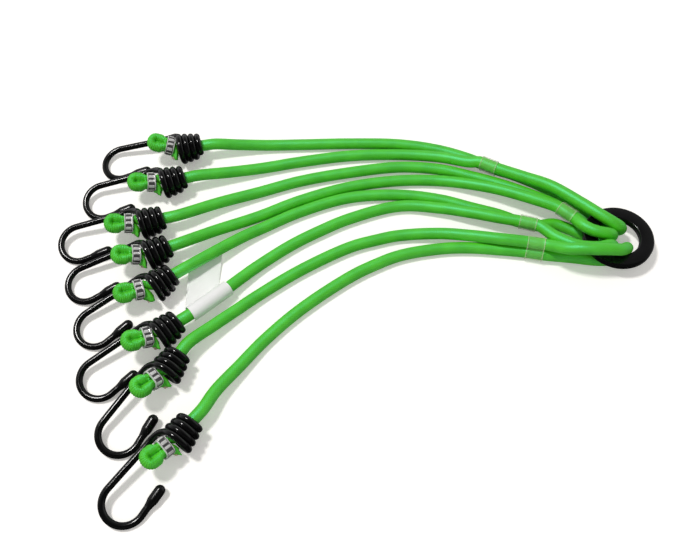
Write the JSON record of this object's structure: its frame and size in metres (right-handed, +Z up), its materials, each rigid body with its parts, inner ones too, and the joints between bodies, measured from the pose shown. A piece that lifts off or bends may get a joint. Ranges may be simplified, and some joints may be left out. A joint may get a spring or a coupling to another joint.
{
  "type": "multi-arm bungee strap",
  "caption": "Elastic cords in a braided sheath, folded round a flat centre ring and held by clear sleeves, each arm ending in a wound wire hook, for tying down a load on a rack",
  "frame": {"origin": "centre of the rectangle that the hooks, ring, sleeves and tag cover on the table, at the level of the table", "axes": "+Z up from the table, +X from the hooks towards the ring, +Y towards the far side of the fan of arms as it is seen in the picture"},
  "size_m": [0.4258, 0.2974, 0.0302],
  "materials": {
    "braided_sheath": "bright green braid with a soft sheen",
    "rubber_core": "plain rubber strands",
    "clear_sleeve": "thin clear film with a slight yellow tint",
    "coated_wire": "gloss black coating on steel wire",
    "tip_cap": "semi-gloss black dipped cap",
    "crimp_metal": "bright plated band",
    "ring_metal": "satin black",
    "tag_film": "plain white film"
  },
  "bodies": {
    "cord_set": {"cord_sheath_a": "braided_sheath", "cord_sheath_b": "braided_sheath", "cord_sheath_c": "braided_sheath", "cord_sheath_d": "braided_sheath", "cord_core_a": "rubber_core", "cord_core_b": "rubber_core", "cord_core_c": "rubber_core", "cord_core_d": "rubber_core", "sleeve_a": "clear_sleeve", "sleeve_b": "clear_sleeve", "sleeve_c": "clear_sleeve", "sleeve_d": "clear_sleeve"},
    "ring": {"ring": "ring_metal"},
    "cord_end_1": {"cord_end_sheath_1": "braided_sheath", "cord_end_core_1": "rubber_core", "crimp_1": "crimp_metal"},
    "hook_1": {"hook_1": "coated_wire", "hook_tip_cap_1": "tip_cap"},
    "cord_end_2": {"cord_end_sheath_2": "braided_sheath", "cord_end_core_2": "rubber_core", "crimp_2": "crimp_metal"},
    "hook_2": {"hook_2": "coated_wire", "hook_tip_cap_2": "tip_cap"},
    "cord_end_3": {"cord_end_sheath_3": "braided_sheath", "cord_end_core_3": "rubber_core", "crimp_3": "crimp_metal"},
    "hook_3": {"hook_3": "coated_wire", "hook_tip_cap_3": "tip_cap"},
    "cord_end_4": {"cord_end_sheath_4": "braided_sheath", "cord_end_core_4": "rubber_core", "crimp_4": "crimp_metal"},
    "hook_4": {"hook_4": "coated_wire", "hook_tip_cap_4": "tip_cap"},
    "cord_end_5": {"cord_end_sheath_5": "braided_sheath", "cord_end_core_5": "rubber_core", "crimp_5": "crimp_metal"},
    "hook_5": {"hook_5": "coated_wire", "hook_tip_cap_5": "tip_cap"},
    "cord_end_6": {"cord_end_sheath_6": "braided_sheath", "cord_end_core_6": "rubber_core", "crimp_6": "crimp_metal", "tag": "tag_film"},
    "hook_6": {"hook_6": "coated_wire", "hook_tip_cap_6": "tip_cap"},
    "cord_end_7": {"cord_end_sheath_7": "braided_sheath", "cord_end_core_7": "rubber_core", "crimp_7": "crimp_metal"},
    "hook_7": {"hook_7": "coated_wire", "hook_tip_cap_7": "tip_cap"},
    "cord_end_8": {"cord_end_sheath_8": "braided_sheath", "cord_end_core_8": "rubber_core", "crimp_8": "crimp_metal"},
    "hook_8": {"hook_8": "coated_wire", "hook_tip_cap_8": "tip_cap"}
  },
  "joints": [
    {"name": "ring_spin", "type": "hinge", "parent": "cord_set", "child": "ring", "pos_m": [0.18788, 0.05404, 0.01156], "axis": [0, 0, 1], "continuous": true},
    {"name": "arm_stretch_1", "type": "slide", "parent": "cord_set", "child": "cord_end_1", "axis": [-0.9848, -0.1384, 0.1045], "range_m": [0, 0.25], "stiffness_N_per_m": 200, "deforming": ["cord_sheath_a", "cord_core_a"]},
    {"name": "hook_swivel_1", "type": "hinge", "parent": "cord_end_1", "child": "hook_1", "pos_m": [-0.13222, 0.13514, 0.01171], "axis": [-0.9871, -0.1599, 0.0001], "range_deg": [0, 60]},
    {"name": "arm_stretch_2", "type": "slide", "parent": "cord_set", "child": "cord_end_2", "axis": [-0.9728, -0.2068, 0.1045], "range_m": [0, 0.25], "stiffness_N_per_m": 200, "deforming": ["cord_sheath_a", "cord_core_a"]},
    {"name": "hook_swivel_2", "type": "hinge", "parent": "cord_end_2", "child": "hook_2", "pos_m": [-0.14182, 0.10294, 0.01171], "axis": [-0.9648, -0.2621, 0.0208], "range_deg": [0, 60]},
    {"name": "arm_stretch_3", "type": "slide", "parent": "cord_set", "child": "cord_end_3", "axis": [-0.9511, -0.2908, 0.1045], "range_m": [0, 0.25], "stiffness_N_per_m": 200, "deforming": ["cord_sheath_b", "cord_core_b"]},
    {"name": "hook_swivel_3", "type": "hinge", "parent": "cord_end_3", "child": "hook_3", "pos_m": [-0.15362, 0.06634, 0.01171], "axis": [-0.9605, -0.2772, 0.0251], "range_deg": [0, 60]},
    {"name": "arm_stretch_4", "type": "slide", "parent": "cord_set", "child": "cord_end_4", "axis": [-0.9155, -0.3886, 0.1045], "range_m": [0, 0.25], "stiffness_N_per_m": 200, "deforming": ["cord_sheath_b", "cord_core_b"]},
    {"name": "hook_swivel_4", "type": "hinge", "parent": "cord_end_4", "child": "hook_4", "pos_m": [-0.14612, 0.03984, 0.01171], "axis": [-0.9164, -0.4003, 0.0035], "range_deg": [0, 60]},
    {"name": "arm_stretch_5", "type": "slide", "parent": "cord_set", "child": "cord_end_5", "axis": [-0.8434, -0.527, 0.1045], "range_m": [0, 0.25], "stiffness_N_per_m": 200, "deforming": ["cord_sheath_c", "cord_core_c"]},
    {"name": "hook_swivel_5", "type": "hinge", "parent": "cord_end_5", "child": "hook_5", "pos_m": [-0.13952, 0.01374, 0.01171], "axis": [-0.8141, -0.5807, 0.0001], "range_deg": [0, 60]},
    {"name": "arm_stretch_6", "type": "slide", "parent": "cord_set", "child": "cord_end_6", "axis": [-0.7729, -0.6259, 0.1045], "range_m": [0, 0.25], "stiffness_N_per_m": 200, "deforming": ["cord_sheath_c", "cord_core_c", "tag"]},
    {"name": "hook_swivel_6", "type": "hinge", "parent": "cord_end_6", "child": "hook_6", "pos_m": [-0.13182, -0.02276, 0.01171], "axis": [-0.7975, -0.6032, 0.0101], "range_deg": [0, 60]},
    {"name": "arm_stretch_7", "type": "slide", "parent": "cord_set", "child": "cord_end_7", "axis": [-0.6783, -0.7273, 0.1045], "range_m": [0, 0.25], "stiffness_N_per_m": 200, "deforming": ["cord_sheath_d", "cord_core_d"]},
    {"name": "hook_swivel_7", "type": "hinge", "parent": "cord_end_7", "child": "hook_7", "pos_m": [-0.12492, -0.05016, 0.01171], "axis": [-0.5474, -0.8366, 0.0208], "range_deg": [0, 60]},
    {"name": "arm_stretch_8", "type": "slide", "parent": "cord_set", "child": "cord_end_8", "axis": [-0.5417, -0.8341, 0.1045], "range_m": [0, 0.25], "stiffness_N_per_m": 200, "deforming": ["cord_sheath_d", "cord_core_d"]},
    {"name": "hook_swivel_8", "type": "hinge", "parent": "cord_end_8", "child": "hook_8", "pos_m": [-0.11322, -0.09556, 0.01171], "axis": [-0.6057, -0.7951, 0.0294], "range_deg": [0, 60]}
  ]
}
